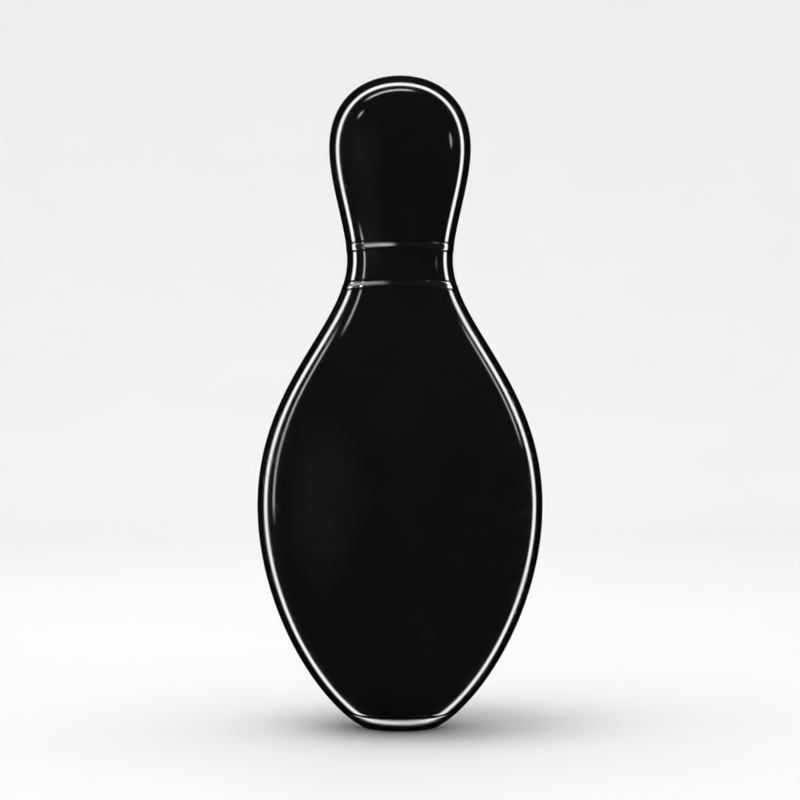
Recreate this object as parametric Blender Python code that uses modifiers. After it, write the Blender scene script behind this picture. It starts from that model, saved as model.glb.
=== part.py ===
"""Bowling pin, duckpin size: a glued maple core in a moulded plastic jacket, on a nylon base ring.

Metres, +Z up. The origin is the middle of the flat foot, on the axis that all the turned pieces share.
Left is -X, and the front is -Y.
"""

import math

import bpy
from mathutils import Matrix, Vector
from mathutils.geometry import interpolate_bezier

# The outline is upright at the head, neck and belly. Each stretch between them is one Bezier curve, and
# the reaches are the lengths of its handles. Those below the head, neck and belly are worked out.
HEIGHT = 0.2389
CROWN_REACH = 0.017
HEAD_RADIUS, HEAD_Z, HEAD_REACH_UP = 0.0263, 0.2124, 0.0153
NECK_RADIUS, NECK_Z, NECK_REACH_UP = 0.0195, 0.171, 0.0108
BELLY_RADIUS, BELLY_Z, BELLY_REACH_UP = 0.0524, 0.0811, 0.045
FOOT_REACH = 0.0243
FOOT_SLOPE = math.radians(35)  # of the flank where it meets the foot's edge, from the floor
FLAT_RADIUS = 0.014
FOOT_EDGE_RADIUS = 0.002

# Each stretch is cut into this many straight steps, and a full turn into this many segments.
CROWN_STEPS, HEAD_STEPS, SHOULDER_STEPS, FLANK_STEPS, EDGE_STEPS = 7, 6, 10, 13, 3
SEGMENTS = 48

GAP = 0.0003  # between pieces that touch, and between glued boards
JACKET_THICKNESS = 0.002

RING_HEIGHT = 0.006
SPIGOT_RADIUS = 0.009
SPIGOT_RECESS = 0.001  # from the floor up to the end of the wood
RING_BORE_CHAMFER = 0.0006

SPINDLE_RADIUS = 0.00475
SPINDLE_DEPTH = 0.019
DRILL_POINT = math.radians(59)  # half the angle of the drill's point

STRIPE_HEIGHTS = {"neck_stripe_upper": 0.1748, "neck_stripe_lower": 0.1608}
STRIPE_WIDTH = 0.002
STRIPE_DEPTH = 0.0006  # below the jacket's surface
STRIPE_CROWN = 0.0003  # above it, along the middle
STRIPE_EDGE = 0.0001  # above it, along the edges

PLANK_THICKNESS = 0.018
BILLET_WIDTH = 3 * PLANK_THICKNESS
PLY_THICKNESS = 0.0127
BLOCK_BOTTOM, BLOCK_TOP = 0.01, 0.15

# Each material is its name, colour, roughness and metallic value.
MAPLE = ("maple", (0.62, 0.42, 0.24), 0.55, 0.0)
JACKET = ("black_ionomer", (0.008, 0.008, 0.009), 0.12, 0.0)
RING = ("black_nylon", (0.014, 0.014, 0.015), 0.4, 0.0)
STRIPE = ("silver_foil", (0.6, 0.61, 0.63), 0.25, 1.0)

CUT_OVERRUN = 0.002  # how far a cutter reaches past the surface that it cuts


def clear_scene():
    for obj in list(bpy.data.objects):
        bpy.data.objects.remove(obj, do_unlink=True)


def new_collection(name):
    collection = bpy.data.collections.new(name)
    bpy.context.scene.collection.children.link(collection)
    return collection


def principled(name, colour, roughness, metallic):
    """The material of that name, made the first time it is asked for."""
    material = bpy.data.materials.get(name)
    if material is None:
        material = bpy.data.materials.new(name)
        material.use_nodes = True
        shader = material.node_tree.nodes["Principled BSDF"]
        shader.inputs["Base Color"].default_value = (*colour, 1.0)
        shader.inputs["Roughness"].default_value = roughness
        shader.inputs["Metallic"].default_value = metallic
    return material


def reach_down(reach_up, width_above, width_below):
    """The handle below an upright joint that carries the curvature on through it from the handle above.

    The widths run from the joint out to the far handle on each side, across the pin.
    """
    return reach_up * math.sqrt(width_below / width_above)


def outline():
    """The pin's outer side as (radius, height) points, from the crown down to the rim of the flat foot."""
    up = Vector((0.0, 1.0))
    out = Vector((1.0, 0.0))
    rise = Vector((math.cos(FOOT_SLOPE), math.sin(FOOT_SLOPE)))
    crown = Vector((0.0, HEIGHT))
    head = Vector((HEAD_RADIUS, HEAD_Z))
    neck = Vector((NECK_RADIUS, NECK_Z))
    belly = Vector((BELLY_RADIUS, BELLY_Z))
    edge_centre = Vector((FLAT_RADIUS, FOOT_EDGE_RADIUS))

    def on_edge(angle):
        return edge_centre + FOOT_EDGE_RADIUS * Vector((math.sin(angle), -math.cos(angle)))

    foot = on_edge(FOOT_SLOPE)
    foot_handle = foot + FOOT_REACH * rise
    head_to_neck = HEAD_RADIUS - NECK_RADIUS
    belly_to_neck = BELLY_RADIUS - NECK_RADIUS
    under_head = reach_down(HEAD_REACH_UP, HEAD_RADIUS - CROWN_REACH, head_to_neck)
    under_neck = reach_down(NECK_REACH_UP, head_to_neck, belly_to_neck)
    under_belly = reach_down(BELLY_REACH_UP, belly_to_neck, BELLY_RADIUS - foot_handle.x)
    stretches = (
        (crown, crown + CROWN_REACH * out, head + HEAD_REACH_UP * up, head, CROWN_STEPS),
        (head, head - under_head * up, neck + NECK_REACH_UP * up, neck, HEAD_STEPS),
        (neck, neck - under_neck * up, belly + BELLY_REACH_UP * up, belly, SHOULDER_STEPS),
        (belly, belly - under_belly * up, foot_handle, foot, FLANK_STEPS),
    )
    points = [crown]
    for start, leave, arrive, end, steps in stretches:
        points += interpolate_bezier(start, leave, arrive, end, steps + 1)[1:]
    points += [on_edge(FOOT_SLOPE * (1 - i / EDGE_STEPS)) for i in range(1, EDGE_STEPS + 1)]
    return [Vector(point[:2]) for point in points]


def outward(points, i):
    """The outline's unit normal at point i. It is straight up at the crown, where the outline is level."""
    if i == 0:
        return Vector((0.0, 1.0))
    along = points[min(i + 1, len(points) - 1)] - points[i - 1]
    return Vector((-along.y, along.x)).normalized()


def inset(points, depth):
    """The outline moved inwards by this depth, square to its surface."""
    return [point - depth * outward(points, i) for i, point in enumerate(points)]


def at_height(points, height):
    """(point, direction down the outline) where the outline passes this height."""
    for above, below in zip(points, points[1:]):
        if above.y >= height > below.y:
            share = (above.y - height) / (above.y - below.y)
            return above.lerp(below, share), (below - above).normalized()
    raise ValueError(f"the outline doesn't reach the height {height}")


def down_to(points, height):
    """The part of the outline above this height, ending at it."""
    return [point for point in points if point.y > height] + [at_height(points, height)[0]]


def turned(name, profile, collection, material, closed=False):
    """A solid turned round +Z. The profile runs down its outer side; a closed one goes back up inside."""
    mesh = bpy.data.meshes.new(name)
    edges = [(i, i + 1) for i in range(len(profile) - 1)]
    if closed:
        edges.append((len(profile) - 1, 0))
    mesh.from_pydata([(radius, 0.0, height) for radius, height in profile], edges, [])
    mesh.materials.append(principled(*material))
    obj = bpy.data.objects.new(name, mesh)
    collection.objects.link(obj)
    screw = obj.modifiers.new("Turn", "SCREW")
    screw.steps = screw.render_steps = SEGMENTS
    screw.use_merge_vertices = True
    screw.merge_threshold = 1e-5
    screw.use_smooth_shade = True
    return obj


def hide_cutter(obj):
    obj.hide_render = True
    obj.display_type = "WIRE"


def add_boolean(obj, operation, other):
    boolean = obj.modifiers.new(other.name, "BOOLEAN")
    boolean.operation = operation
    boolean.solver = "EXACT"
    boolean.object = other


def stripe_section(points, height, half_width, corners):
    """A section laid on the outline at this height. A corner is (share of half_width down, distance out)."""
    middle, down = at_height(points, height)
    out = Vector((-down.y, down.x))
    return [middle + share * half_width * down + reach * out for share, reach in corners]


def make_stripes(points, parts, cutters):
    """Two crowned stripes round the neck, and the cutters of their grooves."""
    crowned = (
        (-1.0, STRIPE_EDGE),
        (0.0, STRIPE_CROWN),
        (1.0, STRIPE_EDGE),
        (1.0, -STRIPE_DEPTH),
        (-1.0, -STRIPE_DEPTH),
    )
    groove = (
        (-1.0, CUT_OVERRUN),
        (1.0, CUT_OVERRUN),
        (1.0, -STRIPE_DEPTH - GAP),
        (-1.0, -STRIPE_DEPTH - GAP),
    )
    grooves = []
    for name, height in STRIPE_HEIGHTS.items():
        section = stripe_section(points, height, STRIPE_WIDTH / 2, crowned)
        turned(name, section, parts, STRIPE, closed=True)
        section = stripe_section(points, height, STRIPE_WIDTH / 2 + GAP, groove)
        grooves.append(turned(f"{name}_groove", section, cutters, STRIPE, closed=True))
        hide_cutter(grooves[-1])
    return grooves


def make_jacket(points, parts, grooves):
    """The one-piece moulded jacket, open at the foot, with a groove round the neck for each stripe."""
    seam = RING_HEIGHT + GAP
    outer = down_to(points, seam)
    inner = down_to(inset(points, JACKET_THICKNESS), seam)
    jacket = turned("plastic_jacket", outer + inner[::-1], parts, JACKET)
    for groove in grooves:
        add_boolean(jacket, "DIFFERENCE", groove)


def make_base_ring(points, parts):
    """The nylon ring that the pin stands on. Its flank carries on the jacket's."""
    seam, _ = at_height(points, RING_HEIGHT)
    flank = [seam] + [point for point in points if point.y < RING_HEIGHT]
    bore = SPIGOT_RADIUS + GAP
    inside = [
        Vector((bore + RING_BORE_CHAMFER, 0.0)),
        Vector((bore, RING_BORE_CHAMFER)),
        Vector((bore, RING_HEIGHT)),
    ]
    turned("base_ring", flank + inside, parts, RING, closed=True)


def make_turned_core(points, cutters):
    """The whole wooden core as the lathe leaves it, with a spigot at its foot. It shapes every board."""
    shoulder = RING_HEIGHT + GAP
    wood = down_to(inset(points, JACKET_THICKNESS + GAP), shoulder)
    spigot = [
        Vector((SPIGOT_RADIUS, shoulder)),
        Vector((SPIGOT_RADIUS, SPIGOT_RECESS)),
        Vector((0.0, SPIGOT_RECESS)),
    ]
    core = turned("turned_core", wood + spigot, cutters, MAPLE)
    hide_cutter(core)
    return core


def make_spindle_drill(cutters):
    """The drill for the hole in the foot, with its point upwards."""
    top = SPIGOT_RECESS + SPINDLE_DEPTH
    profile = [
        Vector((0.0, top + SPINDLE_RADIUS / math.tan(DRILL_POINT))),
        Vector((SPINDLE_RADIUS, top)),
        Vector((SPINDLE_RADIUS, -CUT_OVERRUN)),
        Vector((0.0, -CUT_OVERRUN)),
    ]
    drill = turned("spindle_drill", profile, cutters, MAPLE)
    hide_cutter(drill)
    return drill


def make_board(name, low, high, parts, core):
    """A board turned to the core's shape, half a glue line short of the box (low, high) on every side."""
    size = Vector(high) - Vector(low) - Vector((GAP, GAP, GAP))
    bpy.ops.mesh.primitive_cube_add(size=1, location=(Vector(low) + Vector(high)) / 2)
    board = bpy.context.active_object
    board.name = board.data.name = name
    board.data.transform(Matrix.Diagonal((*size, 1.0)))
    board.data.materials.append(principled(*MAPLE))
    for collection in list(board.users_collection):
        collection.objects.unlink(board)
    parts.objects.link(board)
    add_boolean(board, "INTERSECT", core)
    return board


def make_planks(parts, core, drill):
    """Three full-height planks, side by side along X. The spindle hole is in the middle one."""
    half_width = BILLET_WIDTH / 2
    for i, side in enumerate(("left", "middle", "right")):
        x = (i - 1.5) * PLANK_THICKNESS
        plank = make_board(
            f"core_plank_{side}",
            (x, -half_width, 0.0),
            (x + PLANK_THICKNESS, half_width, HEIGHT),
            parts,
            core,
        )
        if side == "middle":
            add_boolean(plank, "DIFFERENCE", drill)


def make_belly_blocks(parts, core):
    """Two plies on each side of the planks. The left and right ones go on first, so they are narrower."""
    billet = BILLET_WIDTH / 2
    built_out = billet + 2 * PLY_THICKNESS
    for i, ply in enumerate(("inner", "outer")):
        near = billet + i * PLY_THICKNESS
        far = near + PLY_THICKNESS
        boxes = {
            "left": ((-far, -billet), (-near, billet)),
            "right": ((near, -billet), (far, billet)),
            "front": ((-built_out, -far), (built_out, -near)),
            "back": ((-built_out, near), (built_out, far)),
        }
        for side, (low, high) in boxes.items():
            name = f"belly_block_{side}_{ply}"
            make_board(name, (*low, BLOCK_BOTTOM), (*high, BLOCK_TOP), parts, core)


def main():
    clear_scene()
    parts = new_collection("bowling_pin")
    cutters = new_collection("cutters")
    points = outline()
    grooves = make_stripes(points, parts, cutters)
    make_jacket(points, parts, grooves)
    make_base_ring(points, parts)
    core = make_turned_core(points, cutters)
    drill = make_spindle_drill(cutters)
    make_planks(parts, core, drill)
    make_belly_blocks(parts, core)


main()
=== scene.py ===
"""Looks of the bowling pin: its fine surfaces, its materials and the studio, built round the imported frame.

The jacket, the base ring and the two neck stripes are made again here as fine turned meshes. The wooden
core keeps its CAD solids, and each board gets its own cut of maple. Metres, +Z up, front is -Y.
"""

import math

import bmesh
import bpy
import numpy as np
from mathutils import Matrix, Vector
from mathutils.geometry import interpolate_bezier


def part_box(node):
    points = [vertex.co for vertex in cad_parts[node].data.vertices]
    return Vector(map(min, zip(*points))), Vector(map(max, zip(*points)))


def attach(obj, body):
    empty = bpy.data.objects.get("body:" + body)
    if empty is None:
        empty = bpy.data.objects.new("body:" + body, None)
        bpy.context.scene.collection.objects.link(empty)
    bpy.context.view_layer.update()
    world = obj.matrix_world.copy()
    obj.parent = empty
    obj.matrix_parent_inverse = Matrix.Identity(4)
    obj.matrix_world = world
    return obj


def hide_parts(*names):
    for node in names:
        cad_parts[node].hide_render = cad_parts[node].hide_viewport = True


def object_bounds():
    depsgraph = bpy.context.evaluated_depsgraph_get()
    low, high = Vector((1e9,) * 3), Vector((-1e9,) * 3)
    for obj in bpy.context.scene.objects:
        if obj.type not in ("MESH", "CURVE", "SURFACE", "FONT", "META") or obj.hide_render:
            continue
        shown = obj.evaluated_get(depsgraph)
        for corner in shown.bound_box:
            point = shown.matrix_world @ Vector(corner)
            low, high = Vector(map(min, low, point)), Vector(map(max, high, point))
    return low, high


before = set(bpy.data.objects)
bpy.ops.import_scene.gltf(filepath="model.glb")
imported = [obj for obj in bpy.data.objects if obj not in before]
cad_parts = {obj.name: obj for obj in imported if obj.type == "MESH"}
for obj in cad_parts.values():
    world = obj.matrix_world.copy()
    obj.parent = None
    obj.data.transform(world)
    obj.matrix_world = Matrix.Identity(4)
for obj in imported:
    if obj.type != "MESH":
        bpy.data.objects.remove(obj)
cad_low, cad_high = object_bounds()

BODY = "root"

# ---------------------------------------------------------------- sizes

# The outline is upright at the head, neck and belly. Each stretch between them is one Bezier curve, and
# the reaches are the lengths of its handles. Those below the head, neck and belly are worked out.
CROWN_REACH = 0.017
HEAD_RADIUS, HEAD_Z, HEAD_REACH_UP = 0.0263, 0.2124, 0.0153
NECK_RADIUS, NECK_Z, NECK_REACH_UP = 0.0195, 0.171, 0.0108
BELLY_Z, BELLY_REACH_UP = 0.0811, 0.045
FOOT_REACH = 0.0243
FOOT_SLOPE = math.radians(35)
FLAT_RADIUS = 0.014
FOOT_EDGE_RADIUS = 0.002
CROWN_STEPS, HEAD_STEPS, SHOULDER_STEPS, FLANK_STEPS, EDGE_STEPS = 34, 26, 60, 60, 8
SEGMENTS = 256
SHARP_ANGLE = math.radians(40)

HEIGHT = cad_high.z
BELLY_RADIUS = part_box("plastic_jacket")[1].x
JACKET_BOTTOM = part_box("plastic_jacket")[0].z
JACKET_THICKNESS = 0.002
RIM_ROUND = 0.0002

RING_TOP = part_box("base_ring")[1].z
RING_BORE = 0.0093
RING_BORE_CHAMFER = 0.0006
RING_ROUND = 0.0002

STRIPES = ("neck_stripe_upper", "neck_stripe_lower")
STRIPE_WIDTH = 0.0021
STRIPE_DEPTH = 0.0006  # below the jacket's surface
STRIPE_PROUD = 0.0001  # above it
STRIPE_ROUND = 0.00007
STRIPE_FACE = (-0.92, -0.88, -0.4, 0.0, 0.4, 0.88, 0.92)  # its rings, as shares of its half width
STRIPE_CLEARANCE = 0.00011  # on each side of the stripe and under it
LIP_ROUND = 0.00014

# ---------------------------------------------------------------- turned meshes


def reach_down(reach_up, width_above, width_below):
    """The handle below an upright joint that carries the curvature on through it from the handle above.

    The widths run from the joint out to the far handle on each side, across the pin.
    """
    return reach_up * math.sqrt(width_below / width_above)


def outline():
    """The pin's outer side as (radius, height) points, from the crown down to the rim of the flat foot."""
    up = Vector((0.0, 1.0))
    out = Vector((1.0, 0.0))
    rise = Vector((math.cos(FOOT_SLOPE), math.sin(FOOT_SLOPE)))
    crown = Vector((0.0, HEIGHT))
    head = Vector((HEAD_RADIUS, HEAD_Z))
    neck = Vector((NECK_RADIUS, NECK_Z))
    belly = Vector((BELLY_RADIUS, BELLY_Z))
    edge_centre = Vector((FLAT_RADIUS, FOOT_EDGE_RADIUS))

    def on_edge(angle):
        return edge_centre + FOOT_EDGE_RADIUS * Vector((math.sin(angle), -math.cos(angle)))

    foot = on_edge(FOOT_SLOPE)
    foot_handle = foot + FOOT_REACH * rise
    head_to_neck = HEAD_RADIUS - NECK_RADIUS
    belly_to_neck = BELLY_RADIUS - NECK_RADIUS
    under_head = reach_down(HEAD_REACH_UP, HEAD_RADIUS - CROWN_REACH, head_to_neck)
    under_neck = reach_down(NECK_REACH_UP, head_to_neck, belly_to_neck)
    under_belly = reach_down(BELLY_REACH_UP, belly_to_neck, BELLY_RADIUS - foot_handle.x)
    stretches = (
        (crown, crown + CROWN_REACH * out, head + HEAD_REACH_UP * up, head, CROWN_STEPS),
        (head, head - under_head * up, neck + NECK_REACH_UP * up, neck, HEAD_STEPS),
        (neck, neck - under_neck * up, belly + BELLY_REACH_UP * up, belly, SHOULDER_STEPS),
        (belly, belly - under_belly * up, foot_handle, foot, FLANK_STEPS),
    )
    points = [crown]
    for start, leave, arrive, end, steps in stretches:
        points += interpolate_bezier(start, leave, arrive, end, steps + 1)[1:]
    points += [on_edge(FOOT_SLOPE * (1 - i / EDGE_STEPS)) for i in range(1, EDGE_STEPS + 1)]
    return [Vector(point[:2]) for point in points]


def outward(points, i):
    """The outline's unit normal at point i. It is straight up at the crown, where the outline is level."""
    if i == 0:
        return Vector((0.0, 1.0))
    along = points[min(i + 1, len(points) - 1)] - points[i - 1]
    return Vector((-along.y, along.x)).normalized()


def inset(points, depth):
    """The outline moved inwards by this depth, square to its surface."""
    return [point - depth * outward(points, i) for i, point in enumerate(points)]


def at_height(points, height):
    """(point, direction down the outline) where the outline passes this height."""
    for above, below in zip(points, points[1:]):
        if above.y >= height > below.y:
            share = (above.y - height) / (above.y - below.y)
            return above.lerp(below, share), (below - above).normalized()
    raise ValueError(f"the outline doesn't reach the height {height}")


def down_to(points, height):
    """The part of the outline above this height, ending at it."""
    return [point for point in points if point.y > height] + [at_height(points, height)[0]]


def rounded(before, corner, after, radius, steps=4):
    """The points of a small round that takes the place of a corner."""
    back = (before - corner).normalized()
    on = (after - corner).normalized()
    half_angle = back.angle(on) / 2
    reach = radius / math.tan(half_angle)
    handle = reach * (1 - 4 / 3 * math.tan((math.pi / 2 - half_angle) / 2) * math.tan(half_angle))
    ends = corner + reach * back, corner + handle * back, corner + handle * on, corner + reach * on
    return [Vector(point[:2]) for point in interpolate_bezier(*ends, steps + 1)]


def turned(name, profile, closed, material):
    """A mesh turned round +Z. The profile runs down its outer side; a closed one goes back up inside."""
    bm = bmesh.new()
    rings = []
    for radius, height in profile:
        if radius < 1e-6:
            rings.append([bm.verts.new((0.0, 0.0, height))] * SEGMENTS)
            continue
        turns = (2 * math.pi * j / SEGMENTS for j in range(SEGMENTS))
        rings.append([bm.verts.new((radius * math.cos(t), radius * math.sin(t), height)) for t in turns])
    lower_rings = rings[1:] + (rings[:1] if closed else [])
    for upper, lower in zip(rings, lower_rings):
        for j in range(SEGMENTS):
            k = (j + 1) % SEGMENTS
            # A pole is one point all round, so the faces that meet it are triangles.
            bm.faces.new(list(dict.fromkeys((upper[j], lower[j], lower[k], upper[k]))))
    mesh = bpy.data.meshes.new(name)
    bm.to_mesh(mesh)
    bm.free()
    mesh.materials.append(material)
    mesh.shade_smooth()
    mesh.set_sharp_from_angle(angle=SHARP_ANGLE)
    obj = bpy.data.objects.new(name, mesh)
    bpy.context.scene.collection.objects.link(obj)
    return obj


def stripe_place(points, node):
    """(middle of the stripe on the outline, direction down, direction out), from its CAD node's height."""
    low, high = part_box(node)
    middle, down = at_height(points, (low.z + high.z) / 2)
    return middle, down, Vector((-down.y, down.x))


def with_groove(profile, place):
    """The jacket's profile with a round-lipped groove cut into it for a stripe."""
    middle, down, out = place
    half_width = STRIPE_WIDTH / 2 + STRIPE_CLEARANCE
    floor_drop = (STRIPE_DEPTH + STRIPE_CLEARANCE) * out
    upper_lip = middle - half_width * down
    lower_lip = middle + half_width * down
    above = [point for point in profile if (point - middle).dot(down) < -half_width - 2 * LIP_ROUND]
    below = [point for point in profile if (point - middle).dot(down) > half_width + 2 * LIP_ROUND]
    groove = rounded(above[-1], upper_lip, upper_lip - floor_drop, LIP_ROUND)
    groove += [upper_lip - floor_drop, lower_lip - floor_drop]
    groove += rounded(lower_lip - floor_drop, lower_lip, below[0], LIP_ROUND)
    return above + groove + below


def make_jacket(points, material):
    """The moulded jacket: a closed shell, open at the foot, with the stripes' grooves round its neck."""
    outer = down_to(points, JACKET_BOTTOM)
    inner = down_to(inset(points, JACKET_THICKNESS), JACKET_BOTTOM)[::-1]
    for node in STRIPES:
        outer = with_groove(outer, stripe_place(points, node))
    outer = [point for point in outer if point.y > JACKET_BOTTOM + 2 * RIM_ROUND] + [outer[-1]]
    rim = rounded(outer[-2], outer[-1], inner[0], RIM_ROUND)
    # Nothing shows the inner wall, so it keeps only every fourth point.
    wall = [inner[0], *inner[1:-1:4], inner[-1]]
    jacket = turned("jacket_shell", outer[:-1] + rim + wall, False, material)
    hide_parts("plastic_jacket")
    return jacket


def make_base_ring(points, material):
    """The nylon ring under the jacket, with a rounded upper edge and a chamfered bore."""
    seam, _ = at_height(points, RING_TOP)
    flank = [point for point in points if point.y < RING_TOP - 2 * RING_ROUND]
    inner_top = Vector((RING_BORE, RING_TOP))
    chamfer_low = Vector((RING_BORE + RING_BORE_CHAMFER, 0.0))
    chamfer_high = Vector((RING_BORE, RING_BORE_CHAMFER))
    profile = [
        *rounded(inner_top, seam, flank[0], RING_ROUND),
        *flank,
        *rounded(flank[-1], chamfer_low, chamfer_high, RING_ROUND),
        *rounded(chamfer_low, chamfer_high, inner_top, RING_ROUND),
        *rounded(chamfer_high, inner_top, seam, RING_ROUND),
    ]
    ring = turned("foot_ring", profile, True, material)
    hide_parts("base_ring")
    return ring


def make_stripe(points, node, material):
    """A foil-faced stripe in its groove. Its face is flat, and its outer edges are finely rounded."""
    middle, down, out = stripe_place(points, node)

    def corner(side, reach):
        return middle + side * STRIPE_WIDTH / 2 * down + reach * out

    face = corner(-1, STRIPE_PROUD), corner(1, STRIPE_PROUD)
    back = corner(1, -STRIPE_DEPTH), corner(-1, -STRIPE_DEPTH)
    profile = [
        *rounded(back[1], *face, STRIPE_ROUND),
        *(corner(side, STRIPE_PROUD) for side in STRIPE_FACE),
        *rounded(*face, back[0], STRIPE_ROUND),
        *back,
    ]
    stripe = turned(node.replace("neck_stripe", "foil_stripe"), profile, True, material)
    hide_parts(node)
    return stripe


# ---------------------------------------------------------------- material nodes

FACING_PITCH = 0.00035  # of the lathe's lines on the ring's underside
TURNING_PITCH = 0.0006  # of the lathe's lines round the wood
GROWTH_RINGS = 430.0  # in a metre of maple
RING_WANDER = 3.2  # how many rings the grain wanders by
BOARD_SHIFT = 0.0137  # a board's grain is shifted by this times the sum of its name's letters


class Nodes:
    """One node tree, with short calls for the nodes that these materials use."""

    def __init__(self, tree):
        self.tree = tree
        tree.nodes.clear()

    def add(self, kind, inputs=None, **settings):
        """A node. An input given as a socket is linked, and any other value is set."""
        node = self.tree.nodes.new(kind)
        for setting, value in settings.items():
            setattr(node, setting, value)
        for key, value in (inputs or {}).items():
            if isinstance(value, bpy.types.NodeSocket):
                self.tree.links.new(value, node.inputs[key])
            else:
                node.inputs[key].default_value = value
        return node

    def place(self):
        """Object coordinates, which are metres in the pin's own frame."""
        return self.add("ShaderNodeTexCoord").outputs["Object"]

    def math(self, operation, *values):
        node = self.add("ShaderNodeMath", dict(enumerate(values)), operation=operation)
        return node.outputs[0]

    def total(self, *values):
        """The sum of any number of sockets."""
        result = values[0]
        for value in values[1:]:
            result = self.math("ADD", result, value)
        return result

    def scaled(self, vector, scale):
        node = self.add("ShaderNodeVectorMath", {0: vector, 1: scale}, operation="MULTIPLY")
        return node.outputs["Vector"]

    def moved(self, vector, offset):
        node = self.add("ShaderNodeVectorMath", {0: vector, 1: offset}, operation="ADD")
        return node.outputs["Vector"]

    def turned(self, vector, angles):
        inputs = {"Vector": vector, "Rotation": angles}
        node = self.add("ShaderNodeVectorRotate", inputs, rotation_type="EULER_XYZ")
        return node.outputs["Vector"]

    def split(self, vector):
        return self.add("ShaderNodeSeparateXYZ", {"Vector": vector}).outputs

    def noise(self, vector, scale=1.0, detail=2.0, roughness=0.5):
        settings = {"Vector": vector, "Scale": scale, "Detail": detail, "Roughness": roughness}
        return self.add("ShaderNodeTexNoise", settings).outputs["Fac"]

    def spread(self, value, low, high, to_low=0.0, to_high=1.0, smooth=True):
        """The value's stretch from low to high, spread out from to_low to to_high and held at its ends."""
        settings = {"Value": value, "From Min": low, "From Max": high, "To Min": to_low, "To Max": to_high}
        kind = "SMOOTHSTEP" if smooth else "LINEAR"
        return self.add("ShaderNodeMapRange", settings, interpolation_type=kind).outputs["Result"]

    def blend(self, share, first, second):
        """A colour between two colours, each a socket or an (r, g, b) value."""
        node = self.add("ShaderNodeMix", {"Factor": share}, data_type="RGBA")
        for socket, colour in zip((node.inputs[6], node.inputs[7]), (first, second)):
            if isinstance(colour, bpy.types.NodeSocket):
                self.tree.links.new(colour, socket)
            else:
                socket.default_value = (*colour, 1.0)
        return node.outputs[2]

    def bump(self, height, distance, below=None):
        """The surface raised by height times distance, in metres, on top of another bump."""
        inputs = {"Height": height, "Distance": distance}
        if below is not None:
            inputs["Normal"] = below
        return self.add("ShaderNodeBump", inputs).outputs["Normal"]

    def finish(self, colour, roughness, normal, **plain):
        """The Principled shader. The plain values go on its own sockets."""
        inputs = {"Base Color": colour, "Roughness": roughness, "Normal": normal}
        inputs.update({key.replace("_", " "): value for key, value in plain.items()})
        shader = self.add("ShaderNodeBsdfPrincipled", inputs)
        self.add("ShaderNodeOutputMaterial", {"Surface": shader.outputs["BSDF"]})


def new_material(name):
    material = bpy.data.materials.new(name)
    material.use_nodes = True
    return material, Nodes(material.node_tree)


def hairlines(n, place, angles, length, spacing, thickness, share):
    """A mask of sparse fine scratches: thin contour lines of a stretched noise, kept only in patches."""
    along = n.turned(place, angles)
    stretched = n.scaled(along, (1 / spacing, 1 / spacing, 1 / length))
    height = n.noise(stretched, detail=1.0)
    line = n.spread(n.math("ABSOLUTE", n.math("SUBTRACT", height, 0.5)), 0.0, thickness / spacing, 1.0, 0.0)
    patches = n.spread(n.noise(n.scaled(along, (90.0, 90.0, 70.0)), detail=1.0), 1 - share, 1.06 - share)
    return n.math("MULTIPLY", line, patches)


def ionomer_material():
    """Black moulded plastic under clear varnish: deep gloss, faint orange peel, buffing lines, hairlines."""
    material, n = new_material("black_ionomer_gloss")
    place = n.place()
    z = n.split(place)["Z"]
    clouds = n.noise(place, 38.0, 3.0)
    peel = n.noise(place, 330.0, 2.0, 0.55)
    swell = n.noise(place, 70.0, 1.0)
    buffing = n.noise(n.scaled(place, (30.0, 30.0, 3600.0)), 1.0, 2.0)
    scratches = n.math(
        "MAXIMUM",
        hairlines(n, place, (0.5, 0.2, 0.0), 0.03, 0.0035, 0.00004, 0.42),
        hairlines(n, place, (-1.1, 0.4, 0.6), 0.022, 0.003, 0.00004, 0.4),
    )
    # Where neighbouring pins and the ball strike it, the belly is a little duller.
    belly_band = n.math("MULTIPLY", n.spread(z, 0.05, 0.072), n.spread(z, 0.092, 0.118, 1.0, 0.0))
    grazes = n.noise(n.scaled(place, (60.0, 60.0, 240.0)), 1.0, 4.0, 0.6)
    dulled = n.math("MULTIPLY", belly_band, n.spread(grazes, 0.56, 0.72))
    colour = n.blend(clouds, (0.003, 0.003, 0.0033), (0.0055, 0.0055, 0.0059))
    colour = n.blend(n.math("MULTIPLY", dulled, 0.2), colour, (0.02, 0.02, 0.021))
    roughness = n.total(
        n.spread(clouds, 0.3, 0.7, 0.085, 0.125),
        n.math("MULTIPLY", scratches, 0.16),
        n.math("MULTIPLY", dulled, 0.04),
    )
    normal = n.bump(swell, 0.00004)
    normal = n.bump(peel, 0.000004, normal)
    normal = n.bump(buffing, 0.0000002, normal)
    normal = n.bump(scratches, -0.0000012, normal)
    n.finish(colour, roughness, normal, IOR=1.5)
    return material


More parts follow.
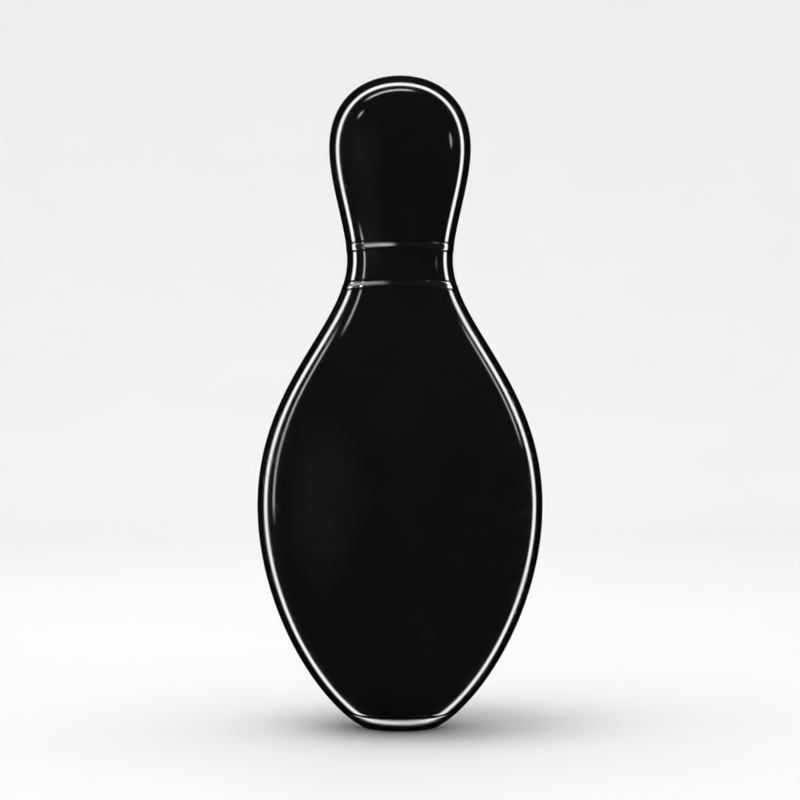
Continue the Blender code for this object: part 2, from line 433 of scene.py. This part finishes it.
def foil_material():
    """Hot-stamped foil: fine lines round the neck, slight creases, some tarnish and a few worn nicks."""
    material, n = new_material("silver_foil_bright")
    place = n.place()
    lines = n.noise(n.scaled(place, (40.0, 40.0, 9000.0)), 1.0, 3.0)
    creases = n.noise(place, 420.0, 3.0, 0.6)
    tarnish = n.noise(place, 120.0, 2.0)
    nicks = n.spread(n.noise(place, 900.0, 2.0), 0.7, 0.74)
    colour = n.blend(n.spread(tarnish, 0.35, 0.7), (0.63, 0.64, 0.66), (0.54, 0.545, 0.56))
    colour = n.blend(nicks, colour, (0.06, 0.06, 0.062))
    roughness = n.total(
        n.spread(lines, 0.3, 0.7, 0.1, 0.16),
        n.math("MULTIPLY", nicks, 0.25),
        n.math("MULTIPLY", tarnish, 0.05),
    )
    normal = n.bump(creases, 0.000006)
    normal = n.bump(lines, 0.0000004, normal)
    normal = n.bump(nicks, -0.00001, normal)
    n.finish(colour, roughness, normal, Metallic=1.0)
    return material


def nylon_material():
    """Moulded nylon: fine spark-eroded grain, lathe-faced underside, greyed where it slides."""
    material, n = new_material("black_nylon_satin")
    place = n.place()
    axes = n.split(place)
    radius = n.math("SQRT", n.total(n.math("POWER", axes["X"], 2.0), n.math("POWER", axes["Y"], 2.0)))
    grain = n.noise(place, 2600.0, 2.0, 0.6)
    clouds = n.noise(place, 150.0, 3.0)
    under = n.spread(axes["Z"], 0.00012, 0.0007, 1.0, 0.0)
    facing = n.math("SINE", n.math("MULTIPLY", radius, 2 * math.pi / FACING_PITCH))
    sliding = n.scaled(n.turned(place, (0.0, 0.0, 0.7)), (2600.0, 160.0, 400.0))
    scuffs = n.spread(n.noise(sliding, 1.0, 3.0), 0.5, 0.68)
    worn = n.math("MULTIPLY", under, scuffs)
    colour = n.blend(clouds, (0.0065, 0.0065, 0.0069), (0.0105, 0.0105, 0.011))
    colour = n.blend(n.math("MULTIPLY", worn, 0.7), colour, (0.075, 0.074, 0.072))
    roughness = n.total(
        n.spread(clouds, 0.3, 0.7, 0.115, 0.16),
        n.math("MULTIPLY", grain, 0.03),
        n.math("MULTIPLY", worn, 0.12),
    )
    normal = n.bump(grain, 0.000004)
    normal = n.bump(n.math("MULTIPLY", facing, under), 0.000004, normal)
    normal = n.bump(worn, -0.000004, normal)
    n.finish(colour, roughness, normal, IOR=1.53)
    return material


# Each board's own timber: how far off its pith lies (x, y), how its grain leans, and how dark it is.
BOARD_TIMBER = {
    "core_plank_left": ((-0.055, 0.03), 0.012, 0.1),
    "core_plank_middle": ((0.012, -0.06), -0.008, 0.35),
    "core_plank_right": ((0.07, 0.02), 0.016, 0.0),
    "belly_block_left_inner": ((-0.02, 0.08), 0.02, 0.55),
    "belly_block_left_outer": ((-0.09, -0.02), -0.018, 0.2),
    "belly_block_right_inner": ((0.05, 0.07), 0.01, 0.15),
    "belly_block_right_outer": ((0.1, -0.03), -0.022, 0.6),
    "belly_block_front_inner": ((0.03, -0.09), 0.015, 0.3),
    "belly_block_front_outer": ((-0.04, -0.1), -0.012, 0.0),
    "belly_block_back_inner": ((-0.03, 0.1), 0.018, 0.45),
    "belly_block_back_outer": ((0.06, 0.11), -0.014, 0.25),
}


def maple_material(node, pith, lean, darkness):
    """Turned hard maple: growth rings round a pith line of its own, fibre flecks, fine turning lines."""
    material, n = new_material(f"maple_{node}")
    shift = sum(map(ord, node)) * BOARD_SHIFT
    place = n.place()
    board = n.turned(n.moved(place, (-pith[0], -pith[1], shift)), (lean, lean * 1.7, 0.0))
    wander = n.noise(n.scaled(board, (22.0, 22.0, 5.0)), 1.0, 2.0)
    axes = n.split(board)
    radius = n.math("SQRT", n.total(n.math("POWER", axes["X"], 2.0), n.math("POWER", axes["Y"], 2.0)))
    ring_count = n.total(n.math("MULTIPLY", radius, GROWTH_RINGS), n.math("MULTIPLY", wander, RING_WANDER))
    season = n.math("FRACT", ring_count)
    late_wood = n.spread(season, 0.72, 0.97)
    early_edge = n.spread(season, 0.0, 0.1, 1.0, 0.0)
    ring = n.math("MAXIMUM", late_wood, early_edge)
    fibres = n.noise(n.scaled(board, (1500.0, 1500.0, 34.0)), 1.0, 3.0, 0.6)
    flecks = n.spread(n.noise(n.scaled(board, (2600.0, 2600.0, 260.0)), 1.0, 1.0), 0.66, 0.74)
    patches = n.noise(n.scaled(board, (26.0, 26.0, 8.0)), 1.0, 3.0)
    turning = n.math("SINE", n.math("MULTIPLY", n.split(place)["Z"], 2 * math.pi / TURNING_PITCH))

    pale = (0.67 - 0.1 * darkness, 0.47 - 0.09 * darkness, 0.28 - 0.07 * darkness)
    deep = (0.54 - 0.1 * darkness, 0.34 - 0.08 * darkness, 0.175 - 0.05 * darkness)
    colour = n.blend(n.spread(patches, 0.3, 0.75), pale, deep)
    colour = n.blend(n.math("MULTIPLY", ring, 0.5), colour, (0.4, 0.22, 0.1))
    colour = n.blend(n.spread(fibres, 0.45, 0.75, 0.0, 0.3), colour, (0.36, 0.2, 0.095))
    colour = n.blend(n.math("MULTIPLY", flecks, 0.45), colour, (0.3, 0.155, 0.07))
    roughness = n.total(
        n.spread(fibres, 0.3, 0.7, 0.5, 0.62),
        n.math("MULTIPLY", ring, -0.05),
        n.math("MULTIPLY", flecks, 0.1),
    )
    normal = n.bump(fibres, 0.00004)
    normal = n.bump(flecks, -0.00005, normal)
    normal = n.bump(turning, 0.000006, normal)
    n.finish(colour, roughness, normal, IOR=1.5)
    return material


def dress_boards():
    """Gives each CAD board its own maple. The boards keep their CAD meshes."""
    for node, (pith, lean, darkness) in BOARD_TIMBER.items():
        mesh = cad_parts[node].data
        mesh.materials.clear()
        mesh.materials.append(maple_material(node, pith, lean, darkness))


# ---------------------------------------------------------------- studio

STUDIO_CENTRE = Vector((0.0, 0.0, 0.12))
CAMERA_PLACE = Vector((0.0, -0.695, 0.1))
CAMERA_LENS = 85  # millimetres

FLOOR_FLAT, FLOOR_BEND, WALL_TOP = 1.7, 1.1, 1.5
SKY_LIGHT = 1.1
SKY_IN_GLOSS = 0.012  # what the gloss sees of it
TOP_LIGHT_PLACE = Vector((-0.5, -0.4, 2.3))
TOP_LIGHT_WIDTH = 1.5
TOP_LIGHT_POWER = 17  # watts

PLASTIC_IOR = 1.5
FOIL_SHARE = 0.58  # of the light that reaches it, the foil mirrors this much
# The lights dim where the foil mirrors them, to this far past a stripe's edge and over this length.
FOIL_MARGIN, FOIL_SOFTNESS = 0.0008, 0.0006

# The outline that the camera sees is followed in steps, and averaging neighbours smooths its tight turns.
LOOP_STEP = 0.0005
LOOP_SMOOTHINGS = 96
# The surface is found between this share of the way from the camera to the pin's middle and the middle.
CLEAR_SHARE = 0.85
HALVINGS = 30

# A stroke is a light close to the pin, whose image is a thin line inside its outline. How bright the image
# is, where along the outline it starts and ends, in metres from the crown with the left negative, how deep
# inside the outline it lies at each end, how wide it is and how much of each end fades. The outline's own
# stroke and flag go all the way round, and the flag is black: it keeps the outermost rim dark.
ALL_ROUND = None
STROKES = {
    "outline_stroke": (1.0, ALL_ROUND, (0.0031, 0.0031), 0.0013, 0),
    "outline_flag": (0.0, ALL_ROUND, (0.00126, 0.00126), 0.0023, 0),
    "crown_stroke": (0.5, (-0.0185, 0.008), (0.0055, 0.0051), 0.0008, 0.006),
    "head_tick_left": (0.4, (-0.0275, -0.0205), (0.0078, 0.0078), 0.0008, 0.003),
    "head_tick_right": (0.35, (0.0345, 0.043), (0.0072, 0.0072), 0.0008, 0.003),
    "neck_stroke_left": (0.4, (-0.112, -0.071), (0.0076, 0.0062), 0.0008, 0.008),
    "neck_tick_right": (0.06, (0.0825, 0.0885), (0.0063, 0.0063), 0.0008, 0.003),
    "belly_stroke_left": (0.4, (-0.191, -0.106), (0.0062, 0.005), 0.0008, 0.012),
    "shoulder_stroke_right": (0.35, (0.105, 0.161), (0.0048, 0.005), 0.0007, 0.01),
}
STROKE_ROWS = 7
STROKE_REACH = 0.03  # how far from the pin the lights are
NECK_STROKE_REACH = 0.004  # and how far from its neck
NECK_SPAN = 0.016  # how far up and down the neck that shorter reach spreads
HOOD_SHARE = 0.3  # a light's hood comes this close to the pin, as a share of the light's reach

# A glint lies across a stripe: how bright its image is, and where it starts and ends in stripe radii.
GLINTS = {
    "neck_stripe_upper": (0.5, (-0.7, -0.02)),
    "neck_stripe_lower": (0.65, (-0.88, -0.12)),
}
GLINT_WIDTH = 0.0015
GLINT_FADES = 0.15, 0.3
GLINT_COLUMNS = 25

# The softboxes are parts of a big sphere: their brightness, their angles off the camera's line, their
# angles round it from the right over the top, and how many degrees of those they fade over.
SOFTBOXES = {
    "left_softbox": (0.1, (14, 110), (132, 222), 36),
    "high_softbox": (1.4, (118, 152), (58, 122), 24),
    "back_softbox": (1.6, (144, 216), (0, 180), 0),
}
SOFTBOX_REACH = 2.3
SOFTBOX_GRID = 25, 91


def smooth_edge(distance, softness):
    """0 at the edge and 1 from softness inwards, without a kink."""
    share = np.clip(distance / softness, 0.0, 1.0)
    return share * share * (3 - 2 * share)


def mirrored_share(angle):
    """The share of light that the glossy plastic mirrors at this angle off its normal."""
    cosine = np.cos(angle)
    inside = np.sqrt(1 - (np.sin(angle) / PLASTIC_IOR) ** 2)
    across = (cosine - PLASTIC_IOR * inside) / (cosine + PLASTIC_IOR * inside)
    along = (PLASTIC_IOR * cosine - inside) / (PLASTIC_IOR * cosine + inside)
    return (across**2 + along**2) / 2


def glow_material(name, back_share):
    """A light that gives off what each point's glow value says, and back_share of it from its back."""
    material, n = new_material(name)
    glow = n.add("ShaderNodeAttribute", attribute_name="glow").outputs["Fac"]
    back = n.add("ShaderNodeNewGeometry").outputs["Backfacing"]
    strength = n.math("MULTIPLY", glow, n.spread(back, 0.0, 1.0, 1.0, back_share, smooth=False))
    light = n.add("ShaderNodeEmission", {"Strength": strength})
    n.add("ShaderNodeOutputMaterial", {"Surface": light.outputs["Emission"]})
    return material


def make_reflected_light(name, material, places, glows):
    """A light that only reflections show, from a grid of places and the glow at each."""
    rows, columns = glows.shape
    corners = np.arange(rows * columns).reshape(rows, columns)
    faces = np.stack([corners[:-1, :-1], corners[:-1, 1:], corners[1:, 1:], corners[1:, :-1]], axis=-1)
    mesh = bpy.data.meshes.new(name)
    mesh.from_pydata(places.reshape(-1, 3).tolist(), [], faces.reshape(-1, 4).tolist())
    mesh.attributes.new("glow", "FLOAT", "POINT").data.foreach_set("value", glows.ravel())
    mesh.materials.append(material)
    light = bpy.data.objects.new(name, mesh)
    bpy.context.scene.collection.objects.link(light)
    light.visible_camera = False
    light.visible_diffuse = False
    light.visible_transmission = False
    light.visible_volume_scatter = False
    light.visible_shadow = False
    return light


def make_softbox(name, material, brightness, off, turn, fade):
    """A broad light far from the pin, dimmed towards its sides."""
    sides, stations = (np.linspace(start, 1, count) for start, count in zip((-1, 0), SOFTBOX_GRID))
    side, along = np.meshgrid(sides, stations, indexing="ij")
    away = np.radians((off[0] + off[1]) / 2 - side * (off[1] - off[0]) / 2)
    spin = np.radians(turn[0] + along * (turn[1] - turn[0]))
    aims = np.stack([np.sin(away) * np.cos(spin), -np.cos(away), np.sin(away) * np.sin(spin)], axis=-1)
    glows = brightness * smooth_edge(1 - abs(side), 1.0)
    if fade:
        glows *= smooth_edge(np.minimum(along, 1 - along) * (turn[1] - turn[0]), fade)
    return make_reflected_light(name, material, np.array(STUDIO_CENTRE) + SOFTBOX_REACH * aims, glows)


class Mirror:
    """The pin's surface as a mirror: where the camera's lines meet it and where they go from there."""

    def __init__(self, points):
        order = range(len(points) - 1, -1, -1)
        self.heights = [points[i].y for i in order]
        self.radii = [points[i].x for i in order]
        self.normals = [outward(points, i) for i in order]
        self.stripes = [stripe_place(points, node)[0].y for node in STRIPES]
        self.loop, self.inwards = self.seen_outline(points)

    def seen_outline(self, points):
        """The pin's outline as the camera sees it, drawn on the upright plane through its axis.

        It is a closed loop of (x, z) rows a step apart, from the crown down the right side to the foot and
        back up the left, with its inward normals. Each height is followed round to where its surface turns
        away from the camera.
        """
        distance = -CAMERA_PLACE.y
        half = []
        front_heights = []
        for i, point in enumerate(points):
            out = outward(points, i)
            rise = point.y - CAMERA_PLACE.z
            front_heights.append(CAMERA_PLACE.z + rise * distance / (distance - point.x))
            sine = -(point.x + rise * out.y / max(out.x, 1e-6)) / distance
            if abs(sine) < 1:
                scale = distance / (distance + point.x * sine)
                half.append((point.x * math.sqrt(1 - sine**2) * scale, CAMERA_PLACE.z + rise * scale))
        half = np.array([(0.0, max(front_heights)), *half, (0.0, min(front_heights))])
        lengths = np.concatenate(([0.0], np.cumsum(np.linalg.norm(np.diff(half, axis=0), axis=1))))
        ways = np.linspace(0.0, lengths[-1], round(lengths[-1] / LOOP_STEP) + 1)
        right = np.stack([np.interp(ways, lengths, column) for column in half.T], axis=1)
        loop = np.concatenate([right, right[-2:0:-1] * (-1.0, 1.0)])
        for _ in range(LOOP_SMOOTHINGS):
            loop = (np.roll(loop, 1, axis=0) + 2 * loop + np.roll(loop, -1, axis=0)) / 4
        tangents = np.roll(loop, -1, axis=0) - np.roll(loop, 1, axis=0)
        inwards = np.stack([tangents[:, 1], -tangents[:, 0]], axis=1)
        return loop, inwards / np.linalg.norm(inwards, axis=1)[:, None]

    def normal_at(self, places):
        out, up = (np.interp(places[..., 2], self.heights, part) for part in zip(*self.normals))
        around = places[..., :2] / np.linalg.norm(places[..., :2], axis=-1)[..., None]
        normals = np.concatenate([around * out[..., None], up[..., None]], axis=-1)
        return normals / np.linalg.norm(normals, axis=-1)[..., None]

    def front_of(self, aims):
        """Where the camera's lines to these places inside the pin enter it."""
        camera = np.array(CAMERA_PLACE)
        outside = np.full(aims.shape[:-1], CLEAR_SHARE)
        inside = np.ones(aims.shape[:-1])
        for _ in range(HALVINGS):
            share = (outside + inside) / 2
            places = camera + share[..., None] * (aims - camera)
            radii = np.interp(places[..., 2], self.heights, self.radii)
            is_outside = np.hypot(places[..., 0], places[..., 1]) > radii
            outside = np.where(is_outside, share, outside)
            inside = np.where(is_outside, inside, share)
        return places

    def mirrored(self, places, far=1.0):
        """Where the camera's lines go on to after these places, and the share of light mirrored there.

        They are followed for a shorter way from the hollow neck, which would gather them at one point.
        """
        normals = self.normal_at(places)
        views = np.array(CAMERA_PLACE) - places
        views /= np.linalg.norm(views, axis=-1)[..., None]
        facing = np.sum(views * normals, axis=-1)
        near_neck = np.exp(-(((places[..., 2] - NECK_Z) / NECK_SPAN) ** 2))
        reach = STROKE_REACH + (NECK_STROKE_REACH - STROKE_REACH) * near_neck
        aims = places + far * reach[..., None] * (2 * facing[..., None] * normals - views)
        share = mirrored_share(np.arccos(facing))
        for height in self.stripes:
            inside = STRIPE_WIDTH / 2 + FOIL_MARGIN - abs(places[..., 2] - height)
            share = share + (FOIL_SHARE - share) * smooth_edge(inside, FOIL_SOFTNESS)
        return aims, share


def with_hood(mirror, fronts, glows):
    """The grid of a light that the camera sees mirrored at these places, between the walls of a hood.

    The walls are black and run along the mirrored lines towards the pin, so that other views see little
    of the light.
    """
    lit, share = mirror.mirrored(fronts)
    walls, _ = mirror.mirrored(fronts[[0, -1]], HOOD_SHARE)
    places = np.concatenate([walls[:1], lit, walls[1:]])
    return places, np.pad(glows / share, ((1, 1), (0, 0)))


def make_stroke(name, material, mirror, seen, span, depth, width, fade):
    """The light of one stroke of the table above."""
    half = len(mirror.loop) / 2 * LOOP_STEP
    start, end = (-half, half) if span is ALL_ROUND else span
    stations = np.arange(round(start / LOOP_STEP), round(end / LOOP_STEP) + 1)
    sides = np.linspace(-1, 1, STROKE_ROWS)
    side, along = np.meshgrid(sides, np.linspace(0, 1, len(stations)), indexing="ij")
    deep = depth[0] + along * (depth[1] - depth[0]) + side * width / 2
    turns = stations % len(mirror.loop)
    drawn = mirror.loop[turns] + deep[..., None] * mirror.inwards[turns]
    fronts = mirror.front_of(np.stack([drawn[..., 0], np.zeros_like(deep), drawn[..., 1]], axis=-1))
    glows = seen * smooth_edge(1 - abs(side), 0.5)
    if fade:
        glows *= smooth_edge(np.minimum(along, 1 - along) * (end - start), fade)
    return make_reflected_light(name, material, *with_hood(mirror, fronts, glows))


def make_glint(name, material, mirror, height, seen, across):
    """The light of the glint on the stripe at this height."""
    sides = np.linspace(1, -1, STROKE_ROWS)
    side, along = np.meshgrid(sides, np.linspace(0, 1, GLINT_COLUMNS), indexing="ij")
    heights = height + side * GLINT_WIDTH / 2
    radii = np.interp(heights, mirror.heights, mirror.radii)
    x = radii * (across[0] + along * (across[1] - across[0]))
    fronts = np.stack([x, -np.sqrt(radii**2 - x**2), heights], axis=-1)
    glows = seen * smooth_edge(np.minimum(along / GLINT_FADES[0], (1 - along) / GLINT_FADES[1]), 1.0)
    glows *= smooth_edge(1 - abs(side), 0.5)
    return make_reflected_light(name, material, *with_hood(mirror, fronts, glows))


def make_reflected_lights(points):
    """What the gloss sees: thin lights that line it, and soft lights on its left, above and behind it."""
    glow = glow_material("stroke_glow", 0.0)
    soft_glow = glow_material("softbox_glow", 1.0)
    mirror = Mirror(points)
    for name, stroke in STROKES.items():
        make_stroke(name, glow, mirror, *stroke)
    for (node, glint), height in zip(GLINTS.items(), mirror.stripes):
        make_glint(node.replace("neck_stripe", "glint"), glow, mirror, height, *glint)
    for name, softbox in SOFTBOXES.items():
        make_softbox(name, soft_glow, *softbox)


def make_top_light():
    """A round softbox over the pin, which lights the floor and stays out of the reflections."""
    light = bpy.data.lights.new("top_softbox", "AREA")
    light.shape = "DISK"
    light.size = TOP_LIGHT_WIDTH
    light.energy = TOP_LIGHT_POWER
    obj = bpy.data.objects.new("top_softbox", light)
    obj.location = TOP_LIGHT_PLACE
    obj.rotation_euler = (STUDIO_CENTRE - TOP_LIGHT_PLACE).to_track_quat("-Z", "Y").to_euler()
    obj.visible_glossy = False
    bpy.context.scene.collection.objects.link(obj)


def make_floor():
    """A plain pale round floor that curves up into a wall on every side."""
    flat_steps, bend_steps = 10, 16
    profile = [Vector((FLOOR_FLAT * (i / flat_steps) ** 2, 0.0)) for i in range(flat_steps + 1)]
    for i in range(1, bend_steps + 1):
        angle = math.pi / 2 * i / bend_steps
        rise = FLOOR_BEND * (1 - math.cos(angle))
        profile.append(Vector((FLOOR_FLAT + FLOOR_BEND * math.sin(angle), rise)))
    profile.append(Vector((FLOOR_FLAT + FLOOR_BEND, WALL_TOP)))
    material, n = new_material("studio_floor")
    place = n.place()
    mottle = n.noise(place, 9.0, 4.0)
    colour = n.blend(mottle, (0.80, 0.80, 0.80), (0.82, 0.82, 0.82))
    normal = n.bump(n.noise(place, 900.0, 2.0), 0.00003)
    n.finish(colour, n.spread(mottle, 0.3, 0.7, 0.75, 0.85), normal)
    floor = turned("studio_floor", profile[::-1], False, material)
    floor.visible_glossy = False
    return floor


def make_world():
    """White light from all round for the floor, and a dark room for the gloss to see."""
    world = bpy.data.worlds.new("studio")
    world.use_nodes = True
    n = Nodes(world.node_tree)
    glossy = n.add("ShaderNodeLightPath").outputs["Is Glossy Ray"]
    strength = n.spread(glossy, 0.0, 1.0, SKY_LIGHT, SKY_IN_GLOSS, smooth=False)
    sky = n.add("ShaderNodeBackground", {"Color": (1.0, 1.0, 1.0, 1.0), "Strength": strength})
    n.add("ShaderNodeOutputWorld", {"Surface": sky.outputs["Background"]})
    bpy.context.scene.world = world


def make_camera():
    """Level with the pin's lower shoulder, so its neck is seen a little from below, its foot from above."""
    camera = bpy.data.cameras.new("camera")
    camera.lens = CAMERA_LENS
    camera.clip_end = 50
    obj = bpy.data.objects.new("camera", camera)
    bpy.context.scene.collection.objects.link(obj)
    obj.location = CAMERA_PLACE
    target = Vector((0.0, 0.0, HEIGHT / 2))
    obj.rotation_euler = (target - obj.location).to_track_quat("-Z", "Y").to_euler()
    bpy.context.scene.camera = obj


# ---------------------------------------------------------------- putting it together


def main():
    points = outline()
    foil = foil_material()
    pieces = [
        make_jacket(points, ionomer_material()),
        make_base_ring(points, nylon_material()),
        *(make_stripe(points, node, foil) for node in STRIPES),
    ]
    for piece in pieces:
        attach(piece, BODY)
    dress_boards()
    make_floor()
    make_reflected_lights(points)
    make_top_light()
    make_world()
    make_camera()
    bpy.context.scene.view_settings.view_transform = "Standard"


main()
